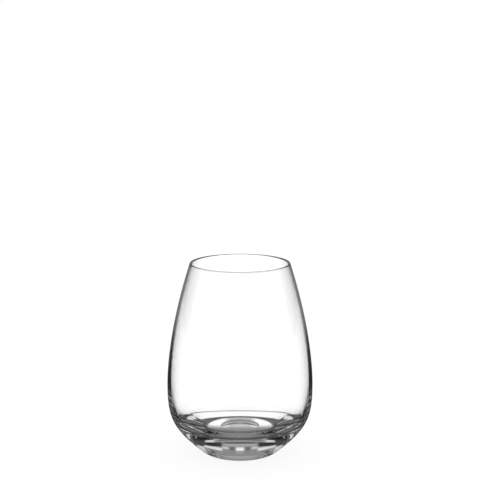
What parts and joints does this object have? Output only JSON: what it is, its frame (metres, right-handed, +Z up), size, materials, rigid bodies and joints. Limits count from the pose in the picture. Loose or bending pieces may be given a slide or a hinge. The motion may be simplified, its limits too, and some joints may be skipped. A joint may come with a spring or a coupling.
{
  "type": "tumbler glass",
  "caption": "Clear stemless drinking tumbler: an egg-shaped thin bowl that draws in to a fine rim, on a thick rounded base that stands on a narrow ring.",
  "frame": {"origin": "on the axis of the glass, level with the ring that it stands on", "axes": "+Z up along the axis of revolution, towards the mouth; the glass looks the same all round, so +X and +Y are free"},
  "size_m": [0.086, 0.086, 0.1142],
  "materials": {
    "clear_glass": "fire-polished, clear and colourless"
  },
  "bodies": {
    "root": {"tumbler_glass": "clear_glass"}
  },
  "joints": []
}
